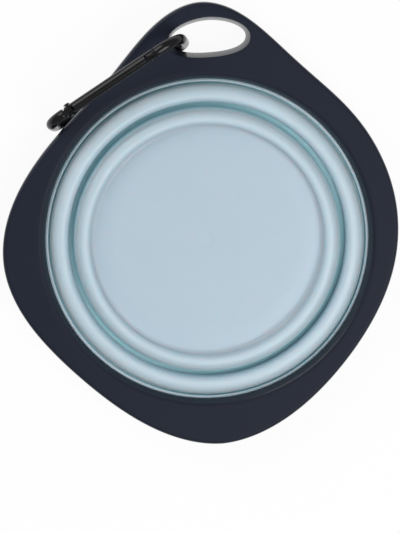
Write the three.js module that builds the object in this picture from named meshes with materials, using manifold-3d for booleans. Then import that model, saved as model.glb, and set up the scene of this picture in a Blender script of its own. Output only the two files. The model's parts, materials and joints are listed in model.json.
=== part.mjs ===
// Collapsible travel bowl, folded flat, with a snap hook through its hanging hole.
// Millimetres, +Z up. The origin is the middle of the base's underside, +Y points to the hanging hole.
import * as THREE from 'three';
import { mergeVertices } from 'three/addons/utils/BufferGeometryUtils.js';
import Module from 'manifold-3d';

const wasm = await Module();
wasm.setup();

// Gap between two pieces that touch on the real bowl, and gap round a piece that moves.
const SEAM = 0.3;
const RUNNING_GAP = 0.3;

// Heights of the folded bowl over the table that it lies on.
const BASE_LIFT = 9.3;
const PLATE_LIFT = 9;
const MIDDLE_LIFT = 0.3;
const TABLE = -BASE_LIFT;

// Hanging hole: an egg with a flatter side towards the bowl, wider at the top face than at the back.
const HOLE_ASIDE = 2.9;
const HOLE_FROM_MOUTH = 16.85;
const HOLE_HALF_LENGTH = 17;
const HOLE_UPPER_HEIGHT = 8.8;
const HOLE_LOWER_HEIGHT = 7.6;
const HOLE_UPPER_FULLNESS = 1.85;
const HOLE_LOWER_FULLNESS = 2.4;
const HOLE_SLANT = 0.039;
const HOLE_TAPER = 1.9;

// Rim frame: a stiff plate whose outline is a circle with four soft corners, the hanging tab among them.
// Each corner stands out of the circle towards one side, over an arc of so many degrees.
const PLATE_THICKNESS = 6;
const RIM_WIDTH = 7;
const TAB_BAND = 5.25;
const TAB_OUT = HOLE_FROM_MOUTH + HOLE_UPPER_HEIGHT + TAB_BAND - RIM_WIDTH;
const RIGHT_SHOULDER = { towards: 25.6, out: 6.2, spread: 51, fullness: 2.8 };
const HANGING_TAB = { towards: 91.8, out: TAB_OUT, spread: 22.6, fullness: 1.9 };
const LEFT_CORNER = { towards: 186.2, out: 11.1, spread: 31.6, fullness: 1.9 };
const FRONT_CORNER = { towards: 274, out: 12.6, spread: 35.2, fullness: 1.7 };
const TOP_EDGE_RADIUS = 1.6;
const BOTTOM_EDGE_RADIUS = 1;
const MOUTH_FLARE = 1.9;
const MOUTH_EDGE_RADIUS = 0.8;

// Soft collar: the bowl's upper ring, moulded into the rim frame with a bead that locks in its groove.
const MOUTH_RADIUS = 65.9;
const LIP_DEPTH = 3.8;
const COLLAR_WALL = 1.1;
const COLLAR_TOE = 0.55;
const TOE_HEIGHT = 1.2;
const BEAD_OUT = 1.4;
const BEAD_HEIGHT = 1.6;
const SOFT_EDGE_RADIUS = 0.45;

// Folds: the thin flexible webs between the stiff rings, tucked under the edge of the ring inside them.
const FOLD_WALL = 0.8;
const FOLD_TUCK = 0.2;

// Middle ring: a dome with a long inner wall and a toe that carries the lower fold.
const MIDDLE_DOME_WIDTH = 7.9;
const MIDDLE_DOME_HEIGHT = 3.2;
const MIDDLE_SKIRT_LIFT = 11.5;
const MIDDLE_WALL = 1.3;
const MIDDLE_TOE = 2.2;

// Base cup: the flat base inside a lower dome.
const BASE_THICKNESS = 2.5;
const BASE_RADIUS = 46.4;
const BASE_DOME_WIDTH = 5.7;
const BASE_DOME_HEIGHT = 3.3;
const BASE_SKIRT_LIFT = 12.5;
const BASE_DOME_WALL = 1.25;
const BASE_CORNER_RADIUS = 1.2;

// Snap hook: a bent bar, wide at its nose and narrower at the gate's pivot.
const BAR = 4.8;
const HOOK_LENGTH = 67.6;
const HOOK_NOSE_WIDTH = 23.8;
const HOOK_PIVOT_WIDTH = 16.2;
const HOOK_SPINE_BEND = 4.4;
const HOOK_NOSE_BEND = 9;
const HOOK_PIVOT_BEND = 7;
const ARM_STRAIGHT = 1;

// Where the hook lies: half way through the plate's thickness its nose arm stands in the hanging hole and its pivot
// arm just outside the plate's edge. Its spine is under the plate.
const HOOK_IN_HOLE = [-10.2, -1.1];
const HOOK_EDGE_GAP = 1.4;
const HOOK_LEAN = 13;
const SPINE_GAP = 1.2;

// Gate: a slotted bar on a rivet, pushed shut by a spring and a plunger in its bore.
const PIVOT_FROM_END = 12.2;
const GATE_SPAN = 41.8;
const GATE_BAR = 4.6;
const TAB_WIDTH = 2;
const TAB_HEIGHT = 3.8;
const TAB_REACH = 4;
const TAB_ROOT = 2;
const LATCH_PIN = 1.4;
const LATCH_FROM_NOSE = 2.4;
const RIVET = 1.4;
const RIVET_HEAD = 2.8;
const RIVET_HEAD_HEIGHT = 0.5;
const RIVET_HEAD_EDGE_RADIUS = 0.25;
const SPRING_BORE = 2.8;
const SPRING_BORE_LENGTH = 14;
const SPRING_WIRE = 0.36;
const SPRING_TURNS = 10;
const PLUNGER_LENGTH = 4;
const PLUNGER_NOSE_RADIUS = 0.55;

// Facets, the least distance between two points of a mesh, and how far a cut runs past what it cuts.
const ROUND_STEPS = 48;
const OUTLINE_STEPS = 120;
const HOLE_STEPS = 40;
const BEND_STEPS = 4;
const EDGE_STEPS = 3;
const DOME_STEPS = 8;
const DOME_HOLLOW_STEPS = 6;
const BAR_STEP = 2.2;
const BAR_SIDES = 12;
const PIN_SIDES = 16;
const COIL_STEPS = 8;
const COIL_SIDES = 6;
const WELD_DISTANCE = 1e-4;
const CUT_PAST = 1;

const { degToRad, radToDeg } = THREE.MathUtils;

// Levels and radii that follow from the sizes above.
const PLATE_BOTTOM = TABLE + PLATE_LIFT;
const PLATE_TOP = PLATE_BOTTOM + PLATE_THICKNESS;
const LIP = PLATE_TOP - LIP_DEPTH;
const OUTLINE_RADIUS = MOUTH_RADIUS + RIM_WIDTH;
const HOLE_OUT = MOUTH_RADIUS + HOLE_FROM_MOUTH;
const COLLAR_INSIDE = MOUTH_RADIUS - COLLAR_WALL;
const COLLAR_TOE_RADIUS = COLLAR_INSIDE - COLLAR_TOE;
const COLLAR_TOE_TOP = TABLE + TOE_HEIGHT;
const MIDDLE_OUTSIDE = COLLAR_TOE_RADIUS - RUNNING_GAP;
const MIDDLE_INSIDE = MIDDLE_OUTSIDE - MIDDLE_DOME_WIDTH;
const MIDDLE_SKIRT = TABLE + MIDDLE_SKIRT_LIFT;
const MIDDLE_BOTTOM = TABLE + MIDDLE_LIFT;
const MIDDLE_TOE_RADIUS = MIDDLE_INSIDE - MIDDLE_TOE;
const MIDDLE_TOE_TOP = MIDDLE_BOTTOM + TOE_HEIGHT;
const BASE_OUTSIDE = MIDDLE_TOE_RADIUS - RUNNING_GAP;
const BASE_SKIRT = TABLE + BASE_SKIRT_LIFT;

// A list of corners [x, y, radius] turned into points, each corner rounded by an arc that touches both sides.
function rounded(corners, closed, steps = BEND_STEPS) {
  const points = [];
  const count = corners.length;
  corners.forEach(([x, y, radius = 0], i) => {
    const here = new THREE.Vector2(x, y);
    if (radius === 0 || (!closed && (i === 0 || i === count - 1))) {
      points.push(here);
      return;
    }
    const before = new THREE.Vector2(...corners[(i + count - 1) % count]).sub(here).normalize();
    const after = new THREE.Vector2(...corners[(i + 1) % count]).sub(here).normalize();
    const half = Math.acos(THREE.MathUtils.clamp(before.dot(after), -1, 1)) / 2;
    const centre = here.clone().add(before.clone().add(after).setLength(radius / Math.sin(half)));
    const start = here.clone().addScaledVector(before, radius / Math.tan(half)).sub(centre);
    const turn = Math.sign(after.cross(before)) * (Math.PI - 2 * half);
    for (let k = 0; k <= steps; k++) {
      points.push(start.clone().rotateAround(new THREE.Vector2(), (turn * k) / steps).add(centre));
    }
  });
  return points;
}

// Points of a dome over a skirt level, from one edge to the other as the angle runs between the two given.
function dome(middle, halfWidth, level, height, from, to, steps) {
  return Array.from({ length: steps + 1 }, (_, k) => {
    const angle = degToRad(from + ((to - from) * k) / steps);
    return new THREE.Vector2(middle + halfWidth * Math.cos(angle), level + height * Math.sin(angle));
  });
}

// A closed section [radius, height], listed with its outer side going up, turned round the Z axis.
function turned(section, steps = ROUND_STEPS) {
  const closesOnAxis = section[0].x === 0 && section.at(-1).x === 0;
  const points = closesOnAxis ? section : [...section, section[0].clone()];
  return new THREE.LatheGeometry(points, steps).rotateX(Math.PI / 2);
}

// A closed skin over rings of points that all have the same count, with a fan over the first and last ring.
function lofted(rings) {
  const size = rings[0].length;
  const positions = rings.flat().flatMap((p) => [p.x, p.y, p.z]);
  const index = [];
  rings.slice(1).forEach((_, level) => {
    for (let k = 0; k < size; k++) {
      const next = (k + 1) % size;
      const [a, b] = [level * size + k, level * size + next];
      index.push(a, b, b + size, a, b + size, a + size);
    }
  });
  [rings[0], rings.at(-1)].forEach((ring, top) => {
    const middle = ring.reduce((sum, p) => sum.add(p), new THREE.Vector3()).divideScalar(size);
    positions.push(middle.x, middle.y, middle.z);
    const hub = positions.length / 3 - 1;
    const first = top ? (rings.length - 1) * size : 0;
    for (let k = 0; k < size; k++) {
      const edge = [first + k, first + ((k + 1) % size)];
      index.push(hub, ...(top ? edge : edge.reverse()));
    }
  });
  const geometry = new THREE.BufferGeometry();
  geometry.setAttribute('position', new THREE.Float32BufferAttribute(positions, 3));
  geometry.setIndex(index);
  return geometry;
}

// A round bar along a curve. A full circle gets two sides for each curve segment.
function bent(curve, diameter, steps, sides) {
  const section = new THREE.Shape();
  section.absarc(0, 0, diameter / 2, 0, Math.PI * 2, false);
  const options = { extrudePath: curve, steps, curveSegments: sides / 2 };
  return new THREE.ExtrudeGeometry(section, options);
}

// A round pin along X or Y between two places.
function pin(axis, diameter, from, to, sides = PIN_SIDES) {
  const geometry = new THREE.CylinderGeometry(diameter / 2, diameter / 2, to - from, sides);
  if (axis === 'x') {
    return geometry.rotateZ(-Math.PI / 2).translate((from + to) / 2, 0, 0);
  }
  return geometry.translate(0, (from + to) / 2, 0);
}

// A block given by its two opposite corners.
function block(low, high) {
  const size = high.map((v, i) => v - low[i]);
  return new THREE.BoxGeometry(...size).translate(...low.map((v, i) => v + size[i] / 2));
}

function merged(geometry) {
  const bare = geometry.clone();
  bare.deleteAttribute('normal');
  bare.deleteAttribute('uv');
  return mergeVertices(bare, WELD_DISTANCE);
}

function solid(geometry) {
  const bare = merged(geometry);
  const vertProperties = new Float32Array(bare.attributes.position.array);
  const triVerts = new Uint32Array(bare.index.array);
  return new wasm.Manifold(new wasm.Mesh({ numProp: 3, vertProperties, triVerts }));
}

function geometryOf(body) {
  const { vertProperties, triVerts } = body.getMesh();
  const geometry = new THREE.BufferGeometry();
  geometry.setAttribute('position', new THREE.BufferAttribute(new Float32Array(vertProperties), 3));
  geometry.setIndex(new THREE.BufferAttribute(new Uint32Array(triVerts), 1));
  return geometry;
}

const framePlastic = new THREE.MeshStandardMaterial({ color: 0x292d38, roughness: 0.5 });
const bowlRubber = new THREE.MeshStandardMaterial({ color: 0xbccfdc, roughness: 0.55 });
const blackPaint = new THREE.MeshStandardMaterial({ color: 0x17181b, roughness: 0.35 });
const bareSteel = new THREE.MeshStandardMaterial({ color: 0x8d9093, roughness: 0.3, metalness: 1 });

function piece(name, geometry, material) {
  const mesh = new THREE.Mesh(merged(geometry), material);
  mesh.name = name;
  return mesh;
}

// Rim frame.
function reach(degrees) {
  const bump = ({ towards, out, spread, fullness }) => {
    const away = Math.abs(((degrees - towards + 540) % 360) - 180);
    return out * Math.exp(-((away / spread) ** fullness));
  };
  const corners = [RIGHT_SHOULDER, HANGING_TAB, LEFT_CORNER, FRONT_CORNER];
  return corners.reduce((sum, corner) => sum + bump(corner), OUTLINE_RADIUS);
}

function outline(inset, height) {
  return Array.from({ length: OUTLINE_STEPS }, (_, k) => {
    const degrees = (360 * k) / OUTLINE_STEPS;
    const angle = degToRad(degrees);
    const radius = reach(degrees) - inset;
    return new THREE.Vector3(radius * Math.cos(angle), radius * Math.sin(angle), height);
  });
}

// A place on the plate, measured out from the bowl's axis towards the hanging tab and across to the tab's right.
function onTab(across, out) {
  return new THREE.Vector2(out, -across).rotateAround(new THREE.Vector2(), degToRad(HANGING_TAB.towards));
}

function holeOutline(inset, height) {
  const bulge = (value, fullness) => Math.sign(value) * Math.abs(value) ** (2 / fullness);
  return Array.from({ length: HOLE_STEPS }, (_, k) => {
    const angle = (2 * Math.PI * k) / HOLE_STEPS;
    const upper = Math.sin(angle) > 0;
    const fullness = upper ? HOLE_UPPER_FULLNESS : HOLE_LOWER_FULLNESS;
    const halfHeight = upper ? HOLE_UPPER_HEIGHT : HOLE_LOWER_HEIGHT;
    const x = (HOLE_HALF_LENGTH - inset) * bulge(Math.cos(angle), fullness);
    const y = (halfHeight - inset) * bulge(Math.sin(angle), fullness);
    const place = onTab(HOLE_ASIDE + x, HOLE_OUT + y + HOLE_SLANT * x);
    return new THREE.Vector3(place.x, place.y, height);
  });
}

const BEAD_BOTTOM = PLATE_BOTTOM + (LIP - PLATE_BOTTOM - BEAD_HEIGHT) / 2;

function rimFrame() {
  const edge = (radius, level, up) => Array.from({ length: EDGE_STEPS + 1 }, (_, k) => {
    const angle = ((Math.PI / 2) * k) / EDGE_STEPS;
    return outline(radius * (1 - Math.cos(angle)), level + up * radius * Math.sin(angle));
  });
  const plate = lofted([
    ...edge(BOTTOM_EDGE_RADIUS, PLATE_BOTTOM + BOTTOM_EDGE_RADIUS, -1).reverse(),
    ...edge(TOP_EDGE_RADIUS, PLATE_TOP - TOP_EDGE_RADIUS, 1),
  ]);
  const wall = MOUTH_RADIUS + SEAM;
  const groove = wall + BEAD_OUT;
  const mouthTop = wall + MOUTH_FLARE;
  const mouth = rounded([
    [0, PLATE_BOTTOM - CUT_PAST],
    [wall, PLATE_BOTTOM - CUT_PAST],
    [wall, BEAD_BOTTOM - SEAM],
    [groove, BEAD_BOTTOM - SEAM],
    [groove, BEAD_BOTTOM + BEAD_HEIGHT + SEAM],
    [wall, BEAD_BOTTOM + BEAD_HEIGHT + SEAM],
    [wall, LIP],
    [mouthTop, PLATE_TOP, MOUTH_EDGE_RADIUS],
    [mouthTop + MOUTH_EDGE_RADIUS, PLATE_TOP],
    [mouthTop + MOUTH_EDGE_RADIUS, PLATE_TOP + CUT_PAST],
    [0, PLATE_TOP + CUT_PAST],
  ], false);
  const taperPast = (HOLE_TAPER * CUT_PAST) / PLATE_THICKNESS;
  const hole = lofted([
    holeOutline(HOLE_TAPER + taperPast, PLATE_BOTTOM - CUT_PAST),
    holeOutline(-taperPast, PLATE_TOP + CUT_PAST),
  ]);
  return geometryOf(solid(plate).subtract(solid(turned(mouth))).subtract(solid(hole)));
}

// Soft collar.
function bowlCollar() {
  return turned(rounded([
    [COLLAR_TOE_RADIUS, TABLE],
    [MOUTH_RADIUS, TABLE, SOFT_EDGE_RADIUS],
    [MOUTH_RADIUS, BEAD_BOTTOM],
    [MOUTH_RADIUS + BEAD_OUT, BEAD_BOTTOM],
    [MOUTH_RADIUS + BEAD_OUT, BEAD_BOTTOM + BEAD_HEIGHT],
    [MOUTH_RADIUS, BEAD_BOTTOM + BEAD_HEIGHT],
    [MOUTH_RADIUS, LIP, SOFT_EDGE_RADIUS],
    [COLLAR_INSIDE, LIP, SOFT_EDGE_RADIUS],
    [COLLAR_INSIDE, COLLAR_TOE_TOP],
    [COLLAR_TOE_RADIUS, COLLAR_TOE_TOP],
  ], true));
}

// A fold stands on the toe inside one ring's wall and ends under the skirt of the next ring.
function fold(wall, toe, ringOutside, skirt) {
  const [low, high] = [toe + SEAM, skirt - SEAM];
  const [foot, top] = [wall - SEAM, ringOutside - FOLD_TUCK];
  return turned([
    new THREE.Vector2(foot - FOLD_WALL, low),
    new THREE.Vector2(foot, low),
    new THREE.Vector2(top, high),
    new THREE.Vector2(top - FOLD_WALL, high),
  ]);
}

// Middle ring.
function middleRing() {
  const middle = MIDDLE_OUTSIDE - MIDDLE_DOME_WIDTH / 2;
  const half = MIDDLE_DOME_WIDTH / 2;
  const hollow = MIDDLE_DOME_HEIGHT - MIDDLE_WALL;
  return turned([
    new THREE.Vector2(MIDDLE_TOE_RADIUS, MIDDLE_BOTTOM),
    new THREE.Vector2(MIDDLE_INSIDE + MIDDLE_WALL, MIDDLE_BOTTOM),
    ...dome(middle, half - MIDDLE_WALL, MIDDLE_SKIRT, hollow, 180, 0, DOME_HOLLOW_STEPS),
    ...dome(middle, half, MIDDLE_SKIRT, MIDDLE_DOME_HEIGHT, 0, 180, DOME_STEPS),
    new THREE.Vector2(MIDDLE_INSIDE, MIDDLE_TOE_TOP),
    new THREE.Vector2(MIDDLE_TOE_RADIUS, MIDDLE_TOE_TOP),
  ]);
}

// Base cup.
function baseCup() {
  const middle = BASE_OUTSIDE - BASE_DOME_WIDTH / 2;
  const half = BASE_DOME_WIDTH / 2;
  const corner = rounded([
    [middle - half, BASE_SKIRT],
    [BASE_RADIUS, BASE_THICKNESS, BASE_CORNER_RADIUS],
    [0, BASE_THICKNESS],
  ], false).slice(1);
  const hollow = BASE_DOME_HEIGHT - BASE_DOME_WALL;
  return turned([
    new THREE.Vector2(0, 0),
    new THREE.Vector2(BASE_RADIUS + BASE_DOME_WALL / 2, 0),
    ...dome(middle, half - BASE_DOME_WALL, BASE_SKIRT, hollow, 180, 0, DOME_HOLLOW_STEPS),
    ...dome(middle, half, BASE_SKIRT, BASE_DOME_HEIGHT, 0, 180, DOME_STEPS),
    ...corner,
  ]);
}

const upperFold = fold(COLLAR_INSIDE, COLLAR_TOE_TOP, MIDDLE_OUTSIDE, MIDDLE_SKIRT);
const lowerFold = fold(MIDDLE_INSIDE, MIDDLE_TOE_TOP, BASE_OUTSIDE, BASE_SKIRT);
const bowl = new THREE.Group();
bowl.add(
  piece('rim_frame', rimFrame(), framePlastic),
  piece('bowl_collar', bowlCollar(), bowlRubber),
  piece('upper_fold', upperFold, bowlRubber),
  piece('middle_ring', middleRing(), bowlRubber),
  piece('lower_fold', lowerFold, bowlRubber),
  piece('base_cup', baseCup(), bowlRubber),
);

// Snap hook, turned about its nose arm until its pivot arm is just outside the plate's edge. The edge's own reach
// changes with that turn, so the turn is settled in a few steps.
const SETTLE_STEPS = 12;
const noseArm = onTab(HOLE_ASIDE + HOOK_IN_HOLE[0], HOLE_OUT + HOOK_IN_HOLE[1]);
const armSpan = HOOK_LENGTH - BAR;
const pivotArm = noseArm.clone();
for (let step = 0; step < SETTLE_STEPS; step++) {
  const out = reach(radToDeg(pivotArm.angle())) + HOOK_EDGE_GAP + BAR / 2;
  const between = Math.acos(
    (noseArm.lengthSq() + out ** 2 - armSpan ** 2) / (2 * noseArm.length() * out),
  );
  pivotArm.copy(noseArm).rotateAround(new THREE.Vector2(), between).setLength(out);
}
const spine = pivotArm.clone().sub(noseArm).normalize();

// The hook's own X runs along the spine from the nose end, and its Z from the spine to the gate. Its arms lean, so
// the spine is to one side of where they cross the plate.
const spineLevel = PLATE_BOTTOM - SPINE_GAP - BAR / 2;
const armRise = PLATE_BOTTOM + PLATE_THICKNESS / 2 - spineLevel;
const spineAside = armRise * Math.tan(degToRad(HOOK_LEAN));
const hookGroup = new THREE.Group();
hookGroup.position.set(
  noseArm.x - (spine.x * BAR) / 2 - spine.y * spineAside,
  noseArm.y - (spine.y * BAR) / 2 + spine.x * spineAside,
  spineLevel,
);
hookGroup.rotation.set(degToRad(HOOK_LEAN), 0, spine.angle(), 'ZYX');

// Front line, from the nose to the pivot: the gate's own X runs along it, and its Z points out of the loop.
const frontSlope = Math.atan2(HOOK_NOSE_WIDTH - HOOK_PIVOT_WIDTH, HOOK_LENGTH - BAR);
const frontHeight = (x) => HOOK_NOSE_WIDTH - (x - BAR / 2) * Math.tan(frontSlope);
const noseFromEnd = HOOK_LENGTH - PIVOT_FROM_END - GATE_SPAN * Math.cos(frontSlope);
const onFront = (x) => [
  noseFromEnd + x * Math.cos(frontSlope),
  frontHeight(noseFromEnd + x * Math.cos(frontSlope)),
];
const gateGroup = new THREE.Group();
gateGroup.position.set(onFront(0)[0], 0, onFront(0)[1]);
gateGroup.rotation.y = frontSlope;

const SLOT = TAB_WIDTH / 2 + RUNNING_GAP;
const GATE_CLEAR = GATE_BAR / 2 + RUNNING_GAP;
const LATCH_HOLE = LATCH_PIN + 2 * SEAM;
const RIVET_HOLE = RIVET + 2 * SEAM;
const FORK_BOTTOM = GATE_SPAN - TAB_HEIGHT / 2 - RUNNING_GAP;
const PLUNGER_TIP = FORK_BOTTOM;

function snapHook() {
  const nose = onFront(0);
  const pivotEnd = onFront(GATE_SPAN + GATE_CLEAR);
  // A short straight stays between each end bend and the gate.
  const bendRoom = (arm, slope) => (
    (arm / Math.cos(frontSlope) - ARM_STRAIGHT) * Math.tan((Math.PI / 2 + slope) / 2)
  );
  const noseBend = Math.min(HOOK_NOSE_BEND, bendRoom(nose[0] - BAR / 2, -frontSlope));
  const pivotBend = Math.min(HOOK_PIVOT_BEND, bendRoom(HOOK_LENGTH - BAR / 2 - pivotEnd[0], frontSlope));
  const route = rounded([
    nose,
    [BAR / 2, HOOK_NOSE_WIDTH, noseBend],
    [BAR / 2, 0, HOOK_SPINE_BEND],
    [HOOK_LENGTH - BAR / 2, 0, HOOK_SPINE_BEND],
    [HOOK_LENGTH - BAR / 2, HOOK_PIVOT_WIDTH, pivotBend],
    pivotEnd,
  ], false);
  const curve = new THREE.CurvePath();
  route.slice(1).forEach((end, i) => {
    const start = route[i];
    curve.add(new THREE.LineCurve3(
      new THREE.Vector3(start.x, 0, start.y),
      new THREE.Vector3(end.x, 0, end.y),
    ));
  });
  const toHook = new THREE.Matrix4().compose(
    gateGroup.position,
    gateGroup.quaternion,
    new THREE.Vector3(1, 1, 1),
  );
  const onGate = (geometry) => solid(geometry.applyMatrix4(toHook));
  const [halfWidth, halfHeight] = [TAB_WIDTH / 2, TAB_HEIGHT / 2];
  const noseTab = onGate(block([-TAB_ROOT, -halfWidth, -halfHeight], [TAB_REACH, halfWidth, halfHeight]));
  const catchSlot = onGate(block(
    [LATCH_FROM_NOSE - LATCH_HOLE / 2, -BAR, -BAR],
    [LATCH_FROM_NOSE + LATCH_HOLE / 2, BAR, 0],
  ));
  const catchEnd = onGate(pin('y', LATCH_HOLE, -BAR, BAR).translate(LATCH_FROM_NOSE, 0, 0));
  const tongue = onGate(block(
    [GATE_SPAN, -halfWidth, -halfHeight],
    [GATE_SPAN + GATE_CLEAR + TAB_ROOT, halfWidth, halfHeight],
  ));
  const tongueEnd = onGate(pin('y', TAB_HEIGHT, -halfWidth, halfWidth).translate(GATE_SPAN, 0, 0));
  const rivetHole = onGate(pin('y', RIVET_HOLE, -BAR, BAR).translate(GATE_SPAN, 0, 0));
  const barSteps = Math.round(curve.getLength() / BAR_STEP);
  return geometryOf(
    solid(bent(curve, BAR, barSteps, BAR_SIDES))
      .add(noseTab.subtract(catchSlot).subtract(catchEnd))
      .add(tongue.add(tongueEnd).subtract(rivetHole)),
  );
}

// Gate.
function gateBar() {
  const bar = solid(pin('x', GATE_BAR, RUNNING_GAP, GATE_SPAN));
  const roundEnd = solid(new THREE.SphereGeometry(GATE_BAR / 2, PIN_SIDES, PIN_SIDES / 2)
    .rotateZ(-Math.PI / 2).translate(GATE_SPAN, 0, 0));
  const noseSlot = solid(block([-CUT_PAST, -SLOT, -BAR], [TAB_REACH + 2 * RUNNING_GAP, SLOT, BAR]));
  const pivotSlot = solid(block([FORK_BOTTOM, -SLOT, -BAR], [GATE_SPAN + BAR, SLOT, BAR]));
  const bore = solid(pin('x', SPRING_BORE, FORK_BOTTOM - SPRING_BORE_LENGTH, FORK_BOTTOM + CUT_PAST));
  const latchHole = solid(pin('y', LATCH_HOLE, -BAR, BAR).translate(LATCH_FROM_NOSE, 0, 0));
  const rivetHole = solid(pin('y', RIVET_HOLE, -BAR, BAR).translate(GATE_SPAN, 0, 0));
  return geometryOf(
    bar.add(roundEnd).subtract(noseSlot).subtract(pivotSlot).subtract(bore)
      .subtract(latchHole).subtract(rivetHole),
  );
}

function latchPin() {
  return pin('y', LATCH_PIN, -GATE_BAR / 2, GATE_BAR / 2).translate(LATCH_FROM_NOSE, 0, 0);
}

function gateRivet() {
  const cheek = GATE_BAR / 2 + SEAM;
  const section = rounded([
    [0, -cheek - RIVET_HEAD_HEIGHT],
    [RIVET_HEAD / 2, -cheek - RIVET_HEAD_HEIGHT, RIVET_HEAD_EDGE_RADIUS],
    [RIVET_HEAD / 2, -cheek],
    [RIVET / 2, -cheek],
    [RIVET / 2, cheek],
    [RIVET_HEAD / 2, cheek],
    [RIVET_HEAD / 2, cheek + RIVET_HEAD_HEIGHT, RIVET_HEAD_EDGE_RADIUS],
    [0, cheek + RIVET_HEAD_HEIGHT],
  ], false);
  return turned(section, PIN_SIDES).rotateX(-Math.PI / 2).translate(GATE_SPAN, 0, 0);
}

function gateSpring() {
  const start = FORK_BOTTOM - SPRING_BORE_LENGTH + SEAM + SPRING_WIRE / 2;
  const end = PLUNGER_TIP - PLUNGER_LENGTH - SEAM - SPRING_WIRE / 2;
  const radius = SPRING_BORE / 2 - SEAM - SPRING_WIRE / 2;
  const steps = SPRING_TURNS * COIL_STEPS;
  const points = Array.from({ length: steps + 1 }, (_, k) => {
    const angle = (2 * Math.PI * k) / COIL_STEPS;
    const x = start + ((end - start) * k) / steps;
    return new THREE.Vector3(x, radius * Math.cos(angle), radius * Math.sin(angle));
  });
  const coil = new THREE.CatmullRomCurve3(points);
  console.log('gate spring gap', ((end - start) / SPRING_TURNS - SPRING_WIRE).toFixed(2), 'mm');
  return bent(coil, SPRING_WIRE, steps, COIL_SIDES);
}

function gatePlunger() {
  const radius = SPRING_BORE / 2 - RUNNING_GAP;
  const section = rounded([
    [0, PLUNGER_TIP - PLUNGER_LENGTH],
    [radius, PLUNGER_TIP - PLUNGER_LENGTH],
    [radius, PLUNGER_TIP, PLUNGER_NOSE_RADIUS],
    [0, PLUNGER_TIP],
  ], false);
  return turned(section, PIN_SIDES).rotateY(Math.PI / 2);
}

hookGroup.add(piece('carabiner_hook', snapHook(), blackPaint), gateGroup);
gateGroup.add(
  piece('carabiner_gate', gateBar(), blackPaint),
  piece('gate_rivet', gateRivet(), bareSteel),
  piece('gate_latch_pin', latchPin(), bareSteel),
  piece('gate_spring', gateSpring(), bareSteel),
  piece('gate_plunger', gatePlunger(), bareSteel),
);
bowl.add(hookGroup);

export default bowl;
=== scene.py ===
import json
from math import acos, atan2, copysign, cos, exp, pi, radians, sin, tan

import bmesh
import bpy
from mathutils import Matrix, Vector
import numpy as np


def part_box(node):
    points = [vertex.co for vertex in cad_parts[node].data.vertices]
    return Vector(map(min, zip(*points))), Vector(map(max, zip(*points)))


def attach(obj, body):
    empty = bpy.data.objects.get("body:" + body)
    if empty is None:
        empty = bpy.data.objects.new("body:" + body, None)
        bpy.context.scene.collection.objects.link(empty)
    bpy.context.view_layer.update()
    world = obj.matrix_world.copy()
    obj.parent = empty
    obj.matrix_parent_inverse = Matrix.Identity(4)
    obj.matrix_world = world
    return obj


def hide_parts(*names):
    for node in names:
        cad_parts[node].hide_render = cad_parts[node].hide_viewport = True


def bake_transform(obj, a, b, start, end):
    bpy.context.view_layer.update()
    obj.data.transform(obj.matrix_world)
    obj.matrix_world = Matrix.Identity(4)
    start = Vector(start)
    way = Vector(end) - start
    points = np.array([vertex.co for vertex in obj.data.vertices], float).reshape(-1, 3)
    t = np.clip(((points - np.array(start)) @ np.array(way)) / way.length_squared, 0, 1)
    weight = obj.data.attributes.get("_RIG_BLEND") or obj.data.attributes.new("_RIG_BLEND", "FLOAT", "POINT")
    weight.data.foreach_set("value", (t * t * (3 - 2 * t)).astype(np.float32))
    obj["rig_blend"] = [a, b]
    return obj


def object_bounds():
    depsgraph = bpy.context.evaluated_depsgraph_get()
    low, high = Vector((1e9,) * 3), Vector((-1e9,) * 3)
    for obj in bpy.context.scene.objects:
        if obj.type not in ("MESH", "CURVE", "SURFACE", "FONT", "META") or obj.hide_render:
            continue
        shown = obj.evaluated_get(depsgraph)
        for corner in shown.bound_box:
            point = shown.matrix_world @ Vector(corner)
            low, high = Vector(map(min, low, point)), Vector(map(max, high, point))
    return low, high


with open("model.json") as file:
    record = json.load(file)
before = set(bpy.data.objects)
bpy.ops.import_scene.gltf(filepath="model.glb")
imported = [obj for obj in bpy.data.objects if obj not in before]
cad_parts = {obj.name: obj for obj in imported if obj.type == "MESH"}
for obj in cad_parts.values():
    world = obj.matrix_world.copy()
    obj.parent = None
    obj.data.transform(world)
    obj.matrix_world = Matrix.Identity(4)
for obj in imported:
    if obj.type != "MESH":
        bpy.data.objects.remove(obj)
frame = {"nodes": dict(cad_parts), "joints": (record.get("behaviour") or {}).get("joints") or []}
cad_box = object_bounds()

# Rim frame: the stiff plate round the bowl, a soft-cornered diamond with a round mouth and a hanging hole.
# Polypropylene, charcoal blue, injection-moulded in a tool with a fine spark-eroded texture.
# It is moulded first, with a step round its mouth that the soft bowl is then moulded against.
MM = 0.001
MERGE_DISTANCE = 0.001
SHARP_ANGLE = 35.0
ROUND_STEPS = 240
PLATE_STEPS = 360
HOLE_STEPS = 120
MOUTH_RADIUS = 65.9
SEAM = 0.3
RIM_WIDTH = 7.0
PLATE_TOP_EDGE = 1.6
PLATE_BOTTOM_EDGE = 1.0
MOUTH_FLARE = 1.9
MOUTH_TOP_EDGE = 2.0
MOUTH_BOTTOM_EDGE = 0.4
LIP_DEPTH = 3.8
BEAD_OUT = 1.4
HOLE_ASIDE = 2.9
HOLE_OUT = MOUTH_RADIUS + 16.85
HOLE_HALF_LENGTH = 17.0
HOLE_UPPER = {"height": 8.8, "fullness": 1.85}
HOLE_LOWER = {"height": 7.6, "fullness": 2.4}
HOLE_SLANT = 0.039
HOLE_TAPER = 1.9
HOLE_EDGE = 0.5
FLAT_MARGIN = 0.6
RIGHT_SHOULDER = {"towards": 25.6, "out": 6.2, "spread": 51.0, "fullness": 2.8}
HANGING_TAB = {"towards": 91.8, "out": 23.83, "spread": 22.6, "fullness": 1.9}
LEFT_CORNER = {"towards": 186.2, "out": 11.1, "spread": 31.6, "fullness": 1.9}
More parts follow.
